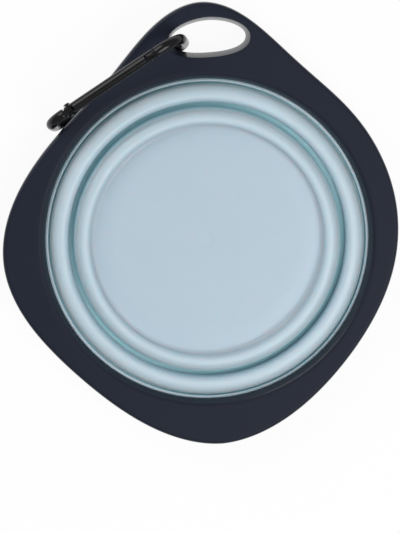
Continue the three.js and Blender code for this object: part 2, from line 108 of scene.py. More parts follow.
FRONT_CORNER = {"towards": 274.0, "out": 12.6, "spread": 35.2, "fullness": 1.7}
SPARK_GRAIN = 0.28
SPARK_DEPTH = 0.012
FLOW_SPREAD = 24.0
SIDE_SHEEN = 1.15
TOP_SHEEN_LOSS = 1.3
CHARCOAL = (0.0115, 0.0150, 0.0275, 1.0)
CHARCOAL_RUBBED = (0.0145, 0.0180, 0.0310, 1.0)

plate_bottom, plate_top = (corner.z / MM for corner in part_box("rim_frame"))
lip = plate_top - LIP_DEPTH


def plate_outline(angle, inset):
    """A point on the plate's edge: a circle with four soft corners."""
    reach = MOUTH_RADIUS + RIM_WIDTH - inset
    for corner in (RIGHT_SHOULDER, HANGING_TAB, LEFT_CORNER, FRONT_CORNER):
        turn = (angle - radians(corner["towards"]) + pi) % (2 * pi) - pi
        away = abs(turn) / radians(corner["spread"])
        reach += corner["out"] * exp(-(away ** corner["fullness"]))
    return reach * cos(angle), reach * sin(angle)


def circle_outline(angle, radius):
    """A point on a circle round the bowl's axis."""
    return radius * cos(angle), radius * sin(angle)


def hole_outline(angle, inset):
    """A point on the hanging hole's edge: an egg that lies across the tab."""
    half = HOLE_UPPER if sin(angle) > 0 else HOLE_LOWER
    power = 2 / half["fullness"]
    across = copysign(abs(cos(angle)) ** power, cos(angle)) * (HOLE_HALF_LENGTH - inset)
    out = copysign(abs(sin(angle)) ** power, sin(angle)) * (half["height"] - inset)
    place = Vector((HOLE_OUT + out + HOLE_SLANT * across, -HOLE_ASIDE - across))
    return Matrix.Rotation(radians(HANGING_TAB["towards"]), 2) @ place


def rounded(corners, closed=False, steps=6):
    """Points of a line through corners (across, height, radius), with an arc where a radius is given."""
    points = []
    for i, (across, height, *radius) in enumerate(corners):
        here = Vector((across, height))
        if not radius or (not closed and i in (0, len(corners) - 1)):
            points.append(here)
            continue
        before = (Vector(corners[i - 1][:2]) - here).normalized()
        after = (Vector(corners[(i + 1) % len(corners)][:2]) - here).normalized()
        half = before.angle(after) / 2
        middle = here + (before + after).normalized() * radius[0] / sin(half)
        start = here + before * radius[0] / tan(half) - middle
        turn = copysign(pi - 2 * half, after.cross(before))
        points += [middle + Matrix.Rotation(turn * k / steps, 2) @ start for k in range(steps + 1)]
    return points


def pulled(bm, edges):
    """Edges pulled out of a mesh's border. Returns the new vertices and edges, still in their old place."""
    parts = bmesh.ops.extrude_edge_only(bm, edges=edges)["geom"]
    verts = [part for part in parts if isinstance(part, bmesh.types.BMVert)]
    return verts, [part for part in parts if isinstance(part, bmesh.types.BMEdge)]


def skin(bm, outline, profile, segments):
    """A ring pulled along a profile of an outline. Returns the edges of its first and last loop."""
    turn = bm.verts.layers.float.get("turn") or bm.verts.layers.float.new("turn")
    ring = bmesh.ops.create_circle(bm, segments=segments, radius=1.0)["verts"]
    edges = list({edge for vert in ring for edge in vert.link_edges})
    first = edges
    for vert in ring:
        vert[turn] = atan2(vert.co.y, vert.co.x)
    for i, (inset, height) in enumerate(profile):
        if i:
            ring, edges = pulled(bm, edges)
        for vert in ring:
            vert.co = (*outline(vert[turn], inset), height)
    return first, edges


def new_piece(bm, name, material, slot, *nodes):
    """A finished bmesh, in millimetres, made an object in metres that stands for CAD nodes."""
    bmesh.ops.remove_doubles(bm, verts=bm.verts, dist=MERGE_DISTANCE)
    bmesh.ops.recalc_face_normals(bm, faces=bm.faces)
    bmesh.ops.scale(bm, vec=(MM, MM, MM), verts=bm.verts)
    mesh = bpy.data.meshes.new(name)
    bm.to_mesh(mesh)
    bm.free()
    mesh.shade_smooth()
    mesh.set_sharp_from_angle(angle=radians(SHARP_ANGLE))
    mesh.materials.append(material)
    piece = bpy.data.objects.new(name, mesh)
    bpy.context.scene.collection.objects.link(piece)
    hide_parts(*nodes)
    return piece


class Shade:
    """A socket in a material's node tree, so that shader maths is written as plain expressions."""

    def __init__(self, tree, socket=None):
        self.tree = tree
        self.socket = socket

    def node(self, kind, settings=None, inputs=None, output=0):
        """A new node of a type, with its settings and the values or links of its sockets."""
        made = self.tree.nodes.new(kind)
        for name, value in (settings or {}).items():
            setattr(made, name, value)
        for name, value in (inputs or {}).items():
            if isinstance(value, Shade):
                self.tree.links.new(value.socket, made.inputs[name])
            else:
                made.inputs[name].default_value = value
        return Shade(self.tree, made.outputs[output])

    def maths(self, operation, first, second):
        """A Math node on two values or sockets."""
        return self.node("ShaderNodeMath", {"operation": operation}, {0: first, 1: second})

    def mixed(self, first, second):
        """Two colours mixed by this socket, from the first at 0 to the second at 1."""
        settings = {"data_type": "RGBA"}
        return self.node("ShaderNodeMix", settings, {0: self, 6: first, 7: second}, 2)

    def __add__(self, other):
        return self.maths("ADD", self, other)

    def __radd__(self, other):
        return self.maths("ADD", other, self)

    def __sub__(self, other):
        return self.maths("SUBTRACT", self, other)

    def __rsub__(self, other):
        return self.maths("SUBTRACT", other, self)

    def __mul__(self, other):
        return self.maths("MULTIPLY", self, other)

    def __rmul__(self, other):
        return self.maths("MULTIPLY", other, self)

    def noise(self, grain, detail=2.0):
        """Noise on the piece's own coordinates, with lumps of a size in millimetres."""
        place = self.node("ShaderNodeTexCoord", output="Object")
        inputs = {"Vector": place, "Scale": 1 / (grain * MM), "Detail": detail}
        return self.node("ShaderNodeTexNoise", None, inputs)

    def bump(self, height, depth):
        """A normal from a height of 0 to 1 that stands for a depth in millimetres."""
        return self.node("ShaderNodeBump", None, {"Height": height, "Distance": depth * MM, "Strength": 1.0})


def new_material(name, **fixed):
    """A Principled material with its fixed values set. Returns it, its shader's sockets and its tree."""
    material = bpy.data.materials.new(name)
    material.use_nodes = True
    tree = material.node_tree
    shader = tree.nodes["Principled BSDF"]
    for socket, value in fixed.items():
        shader.inputs[socket.replace("_", " ")].default_value = value
    return material, shader.inputs, Shade(tree)


def feed(sockets, **links):
    """Links what changes over the surface to a shader's sockets."""
    for socket, shade in links.items():
        shade.tree.links.new(shade.socket, sockets[socket.replace("_", " ")])


rim_plastic, sockets, shade = new_material("rim_plastic", Specular_IOR_Level=0.12, Coat_Roughness=0.2)
spark_grain = shade.noise(SPARK_GRAIN, detail=3.0)
flow = shade.noise(FLOW_SPREAD)
facing = shade.node("ShaderNodeTexCoord", output="Normal")
upright = shade.node("ShaderNodeSeparateXYZ", None, {"Vector": facing}, "Z")
feed(
    sockets,
    Base_Color=flow.mixed(CHARCOAL, CHARCOAL_RUBBED),
    Roughness=0.46 + 0.1 * flow - 0.06 * spark_grain,
    Coat_Weight=SIDE_SHEEN - TOP_SHEEN_LOSS * upright * upright,
    Normal=shade.bump(spark_grain, SPARK_DEPTH),
)

mouth_wall = MOUTH_RADIUS + SEAM
mouth_step = mouth_wall + BEAD_OUT
mouth_top = mouth_wall + MOUTH_FLARE
edge_profile = rounded([
    (PLATE_BOTTOM_EDGE + FLAT_MARGIN, plate_bottom),
    (0, plate_bottom, PLATE_BOTTOM_EDGE),
    (0, plate_top, PLATE_TOP_EDGE),
    (PLATE_TOP_EDGE + FLAT_MARGIN, plate_top),
])
mouth_profile = rounded([
    (mouth_step + MOUTH_BOTTOM_EDGE + FLAT_MARGIN, plate_bottom),
    (mouth_step, plate_bottom, MOUTH_BOTTOM_EDGE),
    (mouth_step, lip, MOUTH_BOTTOM_EDGE / 2),
    (mouth_wall, lip, MOUTH_BOTTOM_EDGE / 2),
    (mouth_top, plate_top, MOUTH_TOP_EDGE),
    (mouth_top + MOUTH_TOP_EDGE + FLAT_MARGIN, plate_top),
])
hole_profile = rounded([
    (HOLE_TAPER - HOLE_EDGE - FLAT_MARGIN, plate_bottom),
    (HOLE_TAPER, plate_bottom, HOLE_EDGE),
    (0, plate_top, HOLE_EDGE),
    (-HOLE_EDGE - FLAT_MARGIN, plate_top),
])
bm = bmesh.new()
skins = [
    skin(bm, plate_outline, edge_profile, PLATE_STEPS),
    skin(bm, circle_outline, mouth_profile, ROUND_STEPS),
    skin(bm, hole_outline, hole_profile, HOLE_STEPS),
]
for face_loops in zip(*skins):
    bmesh.ops.triangle_fill(bm, edges=sum(face_loops, []), use_beauty=True)
bm.verts.layers.float.remove(bm.verts.layers.float["turn"])
rim = new_piece(bm, "rim_moulding", rim_plastic, "rim_plastic", "rim_frame")
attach(rim, "rim")

# Bowl collar: the soft bowl's upper ring, whose round lip shows inside the rim's mouth.
# Thermoplastic rubber, pale blue, a little translucent, coloured paler along the ring crests as a painted
# highlight and darker teal in its creases as painted shade.
# It is moulded onto the rim, and a bead round its outside fills the step under the rim's mouth.
COLLAR_WALL = 0.65
COLLAR_TOE = 0.55
TOE_HEIGHT = 1.2
BEAD_HEIGHT = 1.6
SOFT_EDGE = 0.45
SATIN_GRAIN = 0.5
SATIN_DEPTH = 0.006
CLOUD_SPREAD = 30.0
PALE_BLUE = (0.462, 0.577, 0.657, 1.0)
PALE_BLUE_CLOUDED = (0.476, 0.589, 0.669, 1.0)
# Paler blue painted along the ring crests as a highlight.
CREST_HIGHLIGHT_BLUE = (0.535, 0.660, 0.752, 1.0)
# Darker teal painted into the creases as shade.
CREASE_SHADE_BLUE = (0.340, 0.600, 0.655, 1.0)

soft_rubber, sockets, shade = new_material(
    "soft_rubber",
    Subsurface_Weight=0.6,
    Subsurface_Radius=(0.35, 0.95, 1.0),
    Subsurface_Scale=0.004,
    Specular_IOR_Level=0.5,
)
satin = shade.noise(SATIN_GRAIN)
cloud = shade.noise(CLOUD_SPREAD)
# Painted highlight: a paler blue along the ring crests. Painted shade: a darker teal down in the creases
# between the rings.
painted_crest_highlight = shade.node("ShaderNodeAttribute", {"attribute_name": "painted_crest_highlight"}, None, "Fac")
painted_crease_shade = shade.node("ShaderNodeAttribute", {"attribute_name": "painted_crease_shade"}, None, "Fac")
tint = painted_crease_shade.mixed(cloud.mixed(PALE_BLUE, PALE_BLUE_CLOUDED), CREASE_SHADE_BLUE)
feed(
    sockets,
    Base_Color=painted_crest_highlight.mixed(tint, CREST_HIGHLIGHT_BLUE),
    Roughness=0.36 + 0.06 * cloud + 0.05 * satin,
    Normal=shade.bump(satin, SATIN_DEPTH),
)


def turned(section, closed=True, steps=ROUND_STEPS):
    """A section (radius, height) turned round the bowl's axis."""
    bm = bmesh.new()
    verts = [bm.verts.new((radius, 0, height)) for radius, height in section]
    ends = verts[1:] + verts[:1] if closed else verts[1:]
    edges = [bm.edges.new(pair) for pair in zip(verts, ends)]
    bmesh.ops.spin(bm, geom=verts + edges, axis=(0, 0, 1), angle=2 * pi, steps=steps, use_merge=True)
    return bm


collar_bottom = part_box("bowl_collar")[0].z / MM
collar_toe_top = collar_bottom + TOE_HEIGHT
collar_inside = MOUTH_RADIUS - COLLAR_WALL
collar_toe = collar_inside - COLLAR_TOE
bead = MOUTH_RADIUS + BEAD_OUT
bead_bottom = (plate_bottom + lip - BEAD_HEIGHT) / 2
bead_top = bead_bottom + BEAD_HEIGHT
collar_section = rounded([
    (collar_toe, collar_bottom, SOFT_EDGE / 2),
    (MOUTH_RADIUS, collar_bottom, SOFT_EDGE),
    (MOUTH_RADIUS, bead_bottom, SOFT_EDGE / 2),
    (bead, bead_bottom, SOFT_EDGE),
    (bead, bead_top, SOFT_EDGE),
    (MOUTH_RADIUS, bead_top, SOFT_EDGE / 4),
    (MOUTH_RADIUS, lip, SOFT_EDGE / 4),
    (collar_inside, lip, SOFT_EDGE),
    (collar_inside, collar_toe_top, SOFT_EDGE / 2),
    (collar_toe, collar_toe_top, SOFT_EDGE / 2),
], closed=True)
collar = new_piece(turned(collar_section), "collar_moulding", soft_rubber, "soft_bowl", "bowl_collar")
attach(collar, "rim")

# Upper fold: the thin web that runs on from the middle ring's outer slope and down to the collar's toe.
# The same rubber, moulded in one with both, thin enough to turn inside out as the bowl opens.
FOLD_WALL = 0.8
FOLD_SEAM = 0.01
FOLD_GAP = 0.03
FOLD_ROLL = 0.6
MIDDLE_CREST_RADIUS = 59.7
MIDDLE_OUTER_HEIGHT = 4.4
MIDDLE_SLOPE_FOOT = 64.6
CREASE_SHADE_REACH = 1.4
CREASE_SHADE_FADE = 1.5
CREST_STEPS = 24
WEB_STEPS = 12
HOLLOW_STEPS = 8
HOLLOW_TURN = 1.5 * pi
HOLLOW_INNER_TURN = 1.3 * pi


def marked(bm, mark, share):
    """Writes how strongly a painted mark (a painted highlight on the crests, a painted shade in the creases)
    shows on a mesh, from 0 to 1, by its radius and height.
    """
    layer = bm.verts.layers.float.new(mark)
    for vert in bm.verts:
        vert[layer] = max(0.0, share(vert.co.xy.length, vert.co.z))
    return bm


def dome(crest, half_width, level, height, start, stop, steps=CREST_STEPS):
    """Points of a dome over a level, as the angle runs between two values in radians."""
    turns = [start + (stop - start) * k / steps for k in range(steps + 1)]
    return [Vector((crest + half_width * cos(turn), level + height * sin(turn))) for turn in turns]


def slope_end(crest, half_width, outside):
    """The angle at which a dome reaches a radius."""
    return acos((outside - crest) / half_width)


def fold_web(name, node, slope, outside, wall, lean, toe_top, outer_body, inner_body):
    """A web from a ring's outer slope, round a hollow, to the toe of the wall outside. Returns how far its
    painted crease shade reaches.
    """
    crest, half_width, level, height = slope
    start = slope_end(crest, half_width, outside + FOLD_SEAM)
    foot = Vector((wall - FOLD_GAP, toe_top + FOLD_SEAM))
    hollow = foot.x - crest - half_width
    corner = Vector((foot.x, level - hollow))
    corner.x += lean * (corner.y - foot.y)
    width = corner.x - crest - half_width
    run = [corner.lerp(foot, k / WEB_STEPS) for k in range(1, WEB_STEPS + 1)]
    inner_width, inner_hollow = width + FOLD_WALL, hollow + FOLD_WALL
    outer = [
        *dome(crest, half_width, level, height, start, 0, WEB_STEPS),
        *dome(corner.x, width, level, hollow, pi, HOLLOW_TURN, HOLLOW_STEPS)[1:],
        *run,
    ]
    inner = [
        *dome(crest, half_width - FOLD_WALL, level, height - FOLD_WALL, start, 0, WEB_STEPS),
        *dome(corner.x, inner_width, level, inner_hollow, pi, HOLLOW_INNER_TURN, HOLLOW_STEPS)[1:],
        *[point - Vector((FOLD_WALL, 0)) for point in run[2:]],
    ]
    slope_top = outer[0].y
    crease_shade_top = slope_top + CREASE_SHADE_REACH

    # Painted shade: the web and the slope above it are coloured darker teal down in the crease, where shade
    # falls.
    def crease_shade(radius, z):
        if radius < crest:
            return 0.0
        above = (crease_shade_top - z) / (crease_shade_top - corner.y)
        below = 1 - (corner.y - z) / CREASE_SHADE_FADE
        return min(above, below)

    bm = marked(turned(outer + inner[::-1]), "painted_crease_shade", crease_shade)
    piece = new_piece(bm, name, soft_rubber, "soft_bowl", node)
    web_start = (0, 0, (foot.y - FOLD_ROLL) * MM)
    web_end = (0, 0, slope_top * MM)
    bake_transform(piece, outer_body, inner_body, start=web_start, end=web_end)
    return crease_shade


middle_bottom, middle_crest = (corner.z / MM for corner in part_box("middle_ring"))
middle_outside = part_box("middle_ring")[1].x / MM - FOLD_SEAM
middle_slope = (
    MIDDLE_CREST_RADIUS,
    MIDDLE_SLOPE_FOOT - MIDDLE_CREST_RADIUS,
    middle_crest - MIDDLE_OUTER_HEIGHT,
    MIDDLE_OUTER_HEIGHT,
)
upper_crease_shade = fold_web(
    "upper_fold_web", "upper_fold", middle_slope, middle_outside, collar_inside, 0, collar_toe_top,
    "rim", "middle",
)

# Middle ring: a domed ring with a long inner wall, the bowl's waist when it is open.
# The same rubber, thicker than the folds so that it keeps its shape, with a toe that carries the lower fold.
MIDDLE_INSIDE = 56.4
MIDDLE_INNER_HEIGHT = 3.9
MIDDLE_WALL = 1.3
MIDDLE_TOE = 2.2
MIDDLE_DRAFT = 0.6
MIDDLE_CREST_HIGHLIGHT = 2.6


def crest_highlight(crest, half_width):
    """How far a painted highlight lightens a ring on either side of its crest."""
    return lambda radius, z: 1 - ((radius - crest) / half_width) ** 2


def ring_section(slope, outside, inner_half, inner_height, wall):
    """The hollow under a ring's dome, from its inner edge out, and then the outer slope up to the crest."""
    crest, half_width, level, height = slope
    inner_level = level + height - inner_height
    end = slope_end(crest, half_width, outside)
    under = (half_width - FOLD_WALL, level, height - wall)
    return [
        *dome(crest, inner_half - wall, inner_level, inner_height - wall, pi, pi / 2, WEB_STEPS),
        *dome(crest, *under, pi / 2, end, WEB_STEPS)[1:],
        *dome(crest, half_width, level, height, end, pi / 2),
    ]


middle_edge = MIDDLE_INSIDE + MIDDLE_DRAFT
middle_shoulder = middle_crest - MIDDLE_INNER_HEIGHT
middle_toe_top = middle_bottom + TOE_HEIGHT
middle_lean = MIDDLE_DRAFT / (middle_shoulder - middle_toe_top)
middle_foot = rounded([
    (middle_edge, middle_shoulder),
    (MIDDLE_INSIDE, middle_toe_top, SOFT_EDGE),
    (MIDDLE_INSIDE - MIDDLE_TOE, middle_toe_top, SOFT_EDGE),
    (MIDDLE_INSIDE - MIDDLE_TOE, middle_bottom, SOFT_EDGE),
    (MIDDLE_INSIDE + MIDDLE_WALL, middle_bottom, SOFT_EDGE),
    (middle_edge + MIDDLE_WALL, middle_shoulder),
])
middle_inner_half = MIDDLE_CREST_RADIUS - middle_edge
middle_section = [
    *middle_foot[1:-1],
    *ring_section(middle_slope, middle_outside, middle_inner_half, MIDDLE_INNER_HEIGHT, MIDDLE_WALL),
    *dome(MIDDLE_CREST_RADIUS, middle_inner_half, middle_shoulder, MIDDLE_INNER_HEIGHT, pi / 2, pi)[1:],
]
# Painted highlight: the middle ring's crest is coloured paler where the highlight falls.
bm = marked(turned(middle_section), "painted_crest_highlight", crest_highlight(MIDDLE_CREST_RADIUS, MIDDLE_CREST_HIGHLIGHT))
# Painted shade: the middle ring's outer slope is coloured darker teal where it runs down into the crease.
bm = marked(bm, "painted_crease_shade", upper_crease_shade)
middle = new_piece(bm, "middle_ring_moulding", soft_rubber, "soft_bowl", "middle_ring")
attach(middle, "middle")

# Lower fold: the thin web that runs on from the base's outer slope and down to the middle ring's toe.
# The same rubber, as thin as the upper fold and moulded in the same way.
BASE_CREST_RADIUS = 50.3
BASE_OUTER_HEIGHT = 5.5
BASE_SLOPE_FOOT = 54.9
base_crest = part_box("base_cup")[1].z / MM
base_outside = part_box("base_cup")[1].x / MM - FOLD_SEAM
base_slope = (
    BASE_CREST_RADIUS,
    BASE_SLOPE_FOOT - BASE_CREST_RADIUS,
    base_crest - BASE_OUTER_HEIGHT,
    BASE_OUTER_HEIGHT,
)
lower_crease_shade = fold_web(
    "lower_fold_web", "lower_fold", base_slope, base_outside, MIDDLE_INSIDE, middle_lean, middle_toe_top,
    "middle", "base",
)

# Base cup: the base that food or water lies on, with a shallow gutter round it inside a low domed ring.
# The same rubber. A shallow round dimple in the middle is where the rubber was let into the mould.
BASE_RADIUS = 46.4
BASE_THICKNESS = 2.5
BASE_INNER_HALF = 2.4
BASE_INNER_HEIGHT = 2.5
BASE_DOME_WALL = 1.25
GUTTER_LEVEL = 1.8
GUTTER_ROUND = 1.9
FLOOR_RADIUS = 40.0
FLOOR_SWEEP = 60.0
BASE_FOOT_EDGE = 0.6
DIMPLE_RADIUS = 3.0
DIMPLE_FLOOR_RADIUS = 2.4
DIMPLE_EDGE = 0.75
DIMPLE_DEPTH = 0.1
BASE_CREST_HIGHLIGHT = 1.7

base_edge = BASE_CREST_RADIUS - BASE_INNER_HALF
base_shoulder = base_crest - BASE_INNER_HEIGHT
base_floor = rounded([
    (base_edge, base_shoulder),
    (base_edge, GUTTER_LEVEL, GUTTER_ROUND),
    (FLOOR_RADIUS, BASE_THICKNESS, FLOOR_SWEEP),
    (DIMPLE_RADIUS, BASE_THICKNESS, DIMPLE_EDGE),
    (DIMPLE_FLOOR_RADIUS, BASE_THICKNESS - DIMPLE_DEPTH, DIMPLE_EDGE),
    (0, BASE_THICKNESS - DIMPLE_DEPTH),
])
base_under = rounded([
    (0, 0),
    (BASE_RADIUS + BASE_DOME_WALL / 2, 0, BASE_FOOT_EDGE),
    (base_edge + BASE_DOME_WALL, base_shoulder),
])
base_section = [
    *base_under[:-1],
    *ring_section(base_slope, base_outside, BASE_INNER_HALF, BASE_INNER_HEIGHT, BASE_DOME_WALL),
    *dome(BASE_CREST_RADIUS, BASE_INNER_HALF, base_shoulder, BASE_INNER_HEIGHT, pi / 2, pi)[1:],
    *base_floor[1:],
]
# Painted highlight: the base ring's crest is coloured paler where the highlight falls.
bm = marked(turned(base_section, closed=False), "painted_crest_highlight", crest_highlight(BASE_CREST_RADIUS, BASE_CREST_HIGHLIGHT))
# Painted shade: the base ring's outer slope is coloured darker teal where it runs down into the crease.
bm = marked(bm, "painted_crease_shade", lower_crease_shade)
base = new_piece(bm, "base_moulding", soft_rubber, "soft_bowl", "base_cup")
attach(base, "base")

# Snap hook: the bent bar of the clip that hangs in the rim's hole, wide at its nose and narrow at its pivot.
# Aluminium bar, bent cold, with a slotted tab pressed on the nose and a tongue at the pivot, anodised black.
BAR = 4.8
BAR_SECTION = 4.4
HOOK_LENGTH = 67.6
HOOK_NOSE_WIDTH = 23.8
HOOK_PIVOT_WIDTH = 16.2
HOOK_SPINE_BEND = 4.4
HOOK_NOSE_BEND = 9.0
HOOK_PIVOT_BEND = 7.0
PIVOT_FROM_END = 12.2
GATE_SPAN = 41.8
GATE_BAR = 4.4
TAB_WIDTH = 2.0
TAB_HEIGHT = 3.8
TAB_REACH = 4.0
TAB_ROOT = 2.0
TAB_EDGE = 0.3
LATCH_PIN = 1.4
LATCH_FROM_NOSE = 2.4
RUNNING_GAP = 0.3
BAR_END_EDGE = 0.4
BAR_SIDES = 40
BEND_STEPS = 14
RIVET = 1.4
DRAWN_GRAIN = 0.6
DRAWN_DEPTH = 0.004
WEAR_SPREAD = 7.0
BLACK = (0.004, 0.004, 0.005, 1.0)
BLACK_WORN = (0.012, 0.012, 0.014, 1.0)

black_anodised, sockets, shade = new_material("black_anodised", Specular_IOR_Level=0.3)
drawn = shade.noise(DRAWN_GRAIN, detail=3.0)
handled = shade.noise(WEAR_SPREAD)
feed(
    sockets,
    Base_Color=(handled * drawn).mixed(BLACK, BLACK_WORN),
    Roughness=0.13 + 0.1 * drawn,
    Normal=shade.bump(drawn, DRAWN_DEPTH),
)

gate_joint = next(joint for joint in frame["joints"] if joint["name"] == "gate_open")
front_slope = atan2(HOOK_NOSE_WIDTH - HOOK_PIVOT_WIDTH, HOOK_LENGTH - BAR)
pivot_along = HOOK_LENGTH - PIVOT_FROM_END
nose_along = pivot_along - GATE_SPAN * cos(front_slope)
hook_side = -Vector(gate_joint["axis"]).normalized()
hook_spine = hook_side.cross(Vector((0, 0, 1))).normalized()
hook_out = hook_spine.cross(hook_side)


def on_front(along):
    """A point on the hook's front line, from the nose to the pivot, in the hook's own plane."""
    x = nose_along + along * cos(front_slope)
    return Vector((x, HOOK_NOSE_WIDTH - (x - BAR / 2) * tan(front_slope)))


hook_turn = Matrix((hook_spine, hook_side, hook_out)).transposed().to_4x4()
pivot_place = on_front(GATE_SPAN)
hook_place = Matrix.Translation(Vector(gate_joint["pos_m"]) / MM) @ hook_turn
hook_place = hook_place @ Matrix.Translation((-pivot_place.x, 0, -pivot_place.y))
nose_place = on_front(0)
gate_place = hook_place @ Matrix.Translation((nose_place.x, 0, nose_place.y))
gate_place = gate_place @ Matrix.Rotation(front_slope, 4, "Y")
gate_in_hook = hook_place.inverted() @ gate_place


def bent_bar(corners, diameter):
    """A round bar along straight runs and bends, given by corners (x, z, bend radius) in the hook's plane."""
    bm = bmesh.new()
    places = [Vector((x, 0, z)) for x, z, *_ in corners]
    heading = (places[1] - places[0]).normalized()
    start = Matrix.Translation(places[0]) @ heading.to_track_quat("Z", "Y").to_matrix().to_4x4()
    ring = bmesh.ops.create_circle(bm, segments=BAR_SIDES, radius=diameter / 2, matrix=start)["verts"]
    edges = list({edge for vert in ring for edge in vert.link_edges})
    ends = [edges]
    at = places[0]
    for i, corner in enumerate(corners[1:], 1):
        if len(corner) == 2:
            run = places[i] - at
            turn = 0
        else:
            before = (places[i - 1] - places[i]).normalized()
            after = (places[i + 1] - places[i]).normalized()
            half = before.angle(after) / 2
            run = places[i] + before * corner[2] / tan(half) - at
            turn = pi - 2 * half
        verts, edges = pulled(bm, edges)
        bmesh.ops.translate(bm, verts=verts, vec=run)
        at = at + run
        if turn:
            centre = places[i] + (before + after).normalized() * corner[2] / sin(half)
            spun = bmesh.ops.spin(
                bm, geom=verts + edges, cent=centre, axis=after.cross(before), angle=turn, steps=BEND_STEPS,
            )["geom_last"]
            edges = [part for part in spun if isinstance(part, bmesh.types.BMEdge)]
            at = places[i] + after * corner[2] / tan(half)
    ends.append(edges)
    for end in ends:
        bmesh.ops.edgeloop_fill(bm, edges=end)
    bmesh.ops.recalc_face_normals(bm, faces=bm.faces)
    return bm, ends


def soften(bm, edges, radius):
    """Edges rounded to a radius."""
    bmesh.ops.bevel(
        bm, geom=edges, offset=radius, segments=3, profile=0.5, affect="EDGES", material=-1,
    )


def block(low, high, edge=0.0):
    """A block between two corners with its edges softened."""
    bm = bmesh.new()
    low, high = Vector(low), Vector(high)
    bmesh.ops.create_cube(bm, size=1.0)
    bmesh.ops.scale(bm, vec=high - low, verts=bm.verts)
    bmesh.ops.translate(bm, vec=(low + high) / 2, verts=bm.verts)
    if edge:
        soften(bm, bm.edges[:], edge)
    return bm


def rod(diameter, length):
    """A rod along Y, with its middle at the origin."""
    bm = bmesh.new()
    bmesh.ops.create_cone(
        bm, cap_ends=True, segments=BAR_SIDES, radius1=diameter / 2, radius2=diameter / 2, depth=length,
    )
    bmesh.ops.rotate(bm, matrix=Matrix.Rotation(pi / 2, 3, "X"), verts=bm.verts)
    return bm


def joined(body, *tools):
    """A bmesh with tools (operation, bmesh, place) joined to it or cut from it."""
    def loose(bm):
        mesh = bpy.data.meshes.new("loose")
        bm.to_mesh(mesh)
        bm.free()
        made = bpy.data.objects.new("loose", mesh)
        bpy.context.scene.collection.objects.link(made)
        return made

    work = loose(body)
    for operation, tool, place in tools:
        bmesh.ops.transform(tool, matrix=place, verts=tool.verts)
        modifier = work.modifiers.new("tool", "BOOLEAN")
        modifier.operation = operation
        modifier.solver = "EXACT"
        modifier.object = loose(tool)
    graph = bpy.context.evaluated_depsgraph_get()
    result = bmesh.new()
    result.from_object(work, graph)
    for modifier in work.modifiers:
        bpy.data.objects.remove(modifier.object)
    bpy.data.objects.remove(work)
    return result


gate_clear = GATE_BAR / 2 + RUNNING_GAP
pivot_end = on_front(GATE_SPAN + gate_clear)
bm, bar_ends = bent_bar([
    tuple(nose_place),
    (BAR / 2, HOOK_NOSE_WIDTH, HOOK_NOSE_BEND),
    (BAR / 2, 0, HOOK_SPINE_BEND),
    (HOOK_LENGTH - BAR / 2, 0, HOOK_SPINE_BEND),
    (HOOK_LENGTH - BAR / 2, HOOK_PIVOT_WIDTH, HOOK_PIVOT_BEND),
    tuple(pivot_end),
], BAR_SECTION)
soften(bm, sum(bar_ends, []), BAR_END_EDGE)
tab_side = TAB_WIDTH / 2
tab_top = TAB_HEIGHT / 2
latch_hole = LATCH_PIN + 2 * SEAM
nose_tab = block((-TAB_ROOT, -tab_side, -tab_top), (TAB_REACH, tab_side, tab_top), TAB_EDGE)
nose_tab = joined(
    nose_tab,
    ("DIFFERENCE", rod(latch_hole, BAR), Matrix.Translation((LATCH_FROM_NOSE, 0, 0))),
    ("DIFFERENCE", block((-latch_hole / 2, -BAR, -BAR), (latch_hole / 2, BAR, 0)),
     Matrix.Translation((LATCH_FROM_NOSE, 0, 0))),
)
tongue = block((0, -tab_side, -tab_top), (gate_clear + TAB_ROOT, tab_side, tab_top))
at_pivot = gate_in_hook @ Matrix.Translation((GATE_SPAN, 0, 0))
rivet_hole = RIVET + 2 * SEAM
bm = joined(
    bm,
    ("UNION", nose_tab, gate_in_hook),
    ("UNION", tongue, at_pivot),
    ("UNION", rod(TAB_HEIGHT, TAB_WIDTH), at_pivot),
    ("DIFFERENCE", rod(rivet_hole, BAR), at_pivot),
)
bmesh.ops.transform(bm, matrix=hook_place, verts=bm.verts)
hook = new_piece(bm, "clip_bar", black_anodised, "black_hook", "carabiner_hook")
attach(hook, "carabiner")

# Gate: the sprung bar that closes the clip, forked over the nose's tab and over the pivot's tongue.
# Aluminium rod, turned, slotted and drilled for its spring, anodised black with the hook.
SPRING_BORE = 2.8
SPRING_BORE_LENGTH = 14.0
GATE_NOSE_EDGE = 0.4
GATE_PIVOT_EDGE = 1.2
END_MARGIN = 0.01

